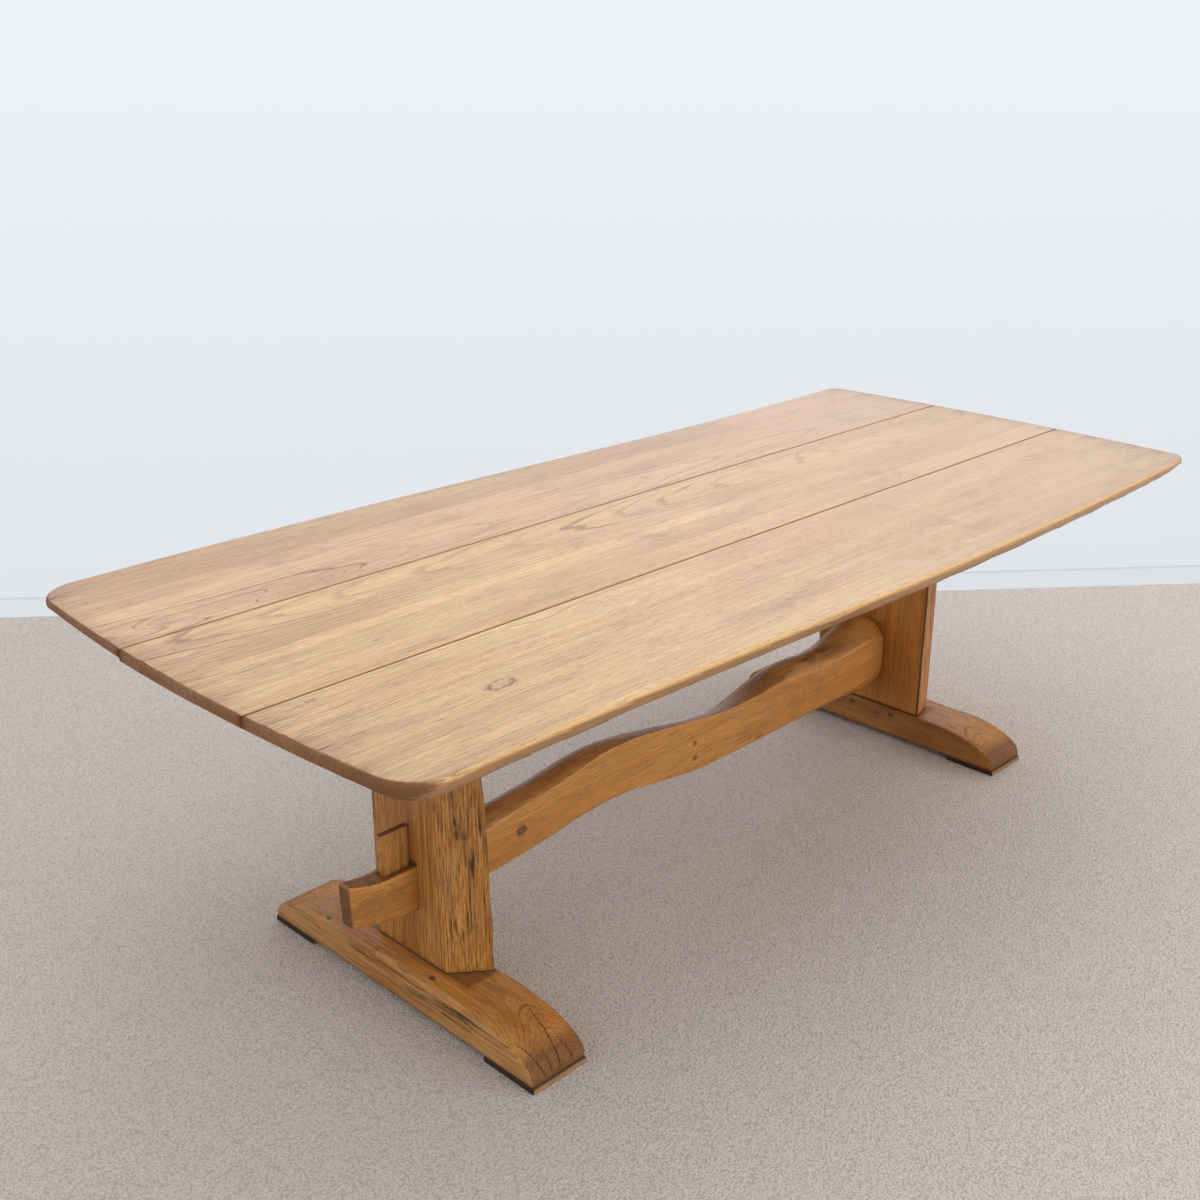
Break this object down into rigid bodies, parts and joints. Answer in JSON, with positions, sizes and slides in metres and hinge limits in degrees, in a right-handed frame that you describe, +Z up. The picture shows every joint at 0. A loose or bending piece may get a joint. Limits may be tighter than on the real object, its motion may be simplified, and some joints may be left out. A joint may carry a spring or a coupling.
{
  "type": "trestle dining table",
  "caption": "Long oak refectory table: a waney-edged board top on two slab trestles, tied by a curved through-tenoned stretcher held with removable keys.",
  "frame": {"origin": "on the floor, under the middle of the top", "axes": "+X along the top, from the end with the wider post bevels to the other; +Y across it, to the back; +Z up"},
  "size_m": [2.42, 1.0992, 0.75],
  "materials": {
    "top_oak": "worn waxed oak, pale honey",
    "base_oak": "waxed oak, orange brown, with open checks",
    "stretcher_oak": "waxed oak, sawn face with bark edges",
    "key_oak": "waxed oak, straight grain",
    "peg_oak": "cleft oak, waxed",
    "pad_oak": "dark stained oak",
    "screw_steel": "zinc plated steel"
  },
  "bodies": {
    "table": {"back_board_outer_stave": "top_oak", "back_board_inner_stave": "top_oak", "middle_board_back_stave": "top_oak", "middle_board_centre_stave": "top_oak", "middle_board_front_stave": "top_oak", "front_board_inner_stave": "top_oak", "front_board_centre_stave": "top_oak", "front_board_outer_stave": "top_oak", "left_bearer": "base_oak", "left_bearer_screws": "screw_steel", "left_bearer_pegs": "peg_oak", "left_post": "base_oak", "left_foot": "base_oak", "left_foot_coach_screws": "screw_steel", "left_foot_washers": "screw_steel", "left_front_pad": "pad_oak", "left_back_pad": "pad_oak", "left_pad_screws": "screw_steel", "right_bearer": "base_oak", "right_bearer_screws": "screw_steel", "right_bearer_pegs": "peg_oak", "right_post": "base_oak", "right_foot": "base_oak", "right_foot_coach_screws": "screw_steel", "right_foot_washers": "screw_steel", "right_front_pad": "pad_oak", "right_back_pad": "pad_oak", "right_pad_screws": "screw_steel", "middle_batten": "base_oak", "middle_batten_screws": "screw_steel", "stretcher": "stretcher_oak"},
    "left_key": {"left_key": "key_oak"},
    "right_key": {"right_key": "key_oak"}
  },
  "joints": [
    {"name": "left_key_slide", "type": "slide", "parent": "table", "child": "left_key", "axis": [0, 0, 1], "range_m": [0, 0.1]},
    {"name": "right_key_slide", "type": "slide", "parent": "table", "child": "right_key", "axis": [0, 0, 1], "range_m": [0, 0.1]}
  ]
}
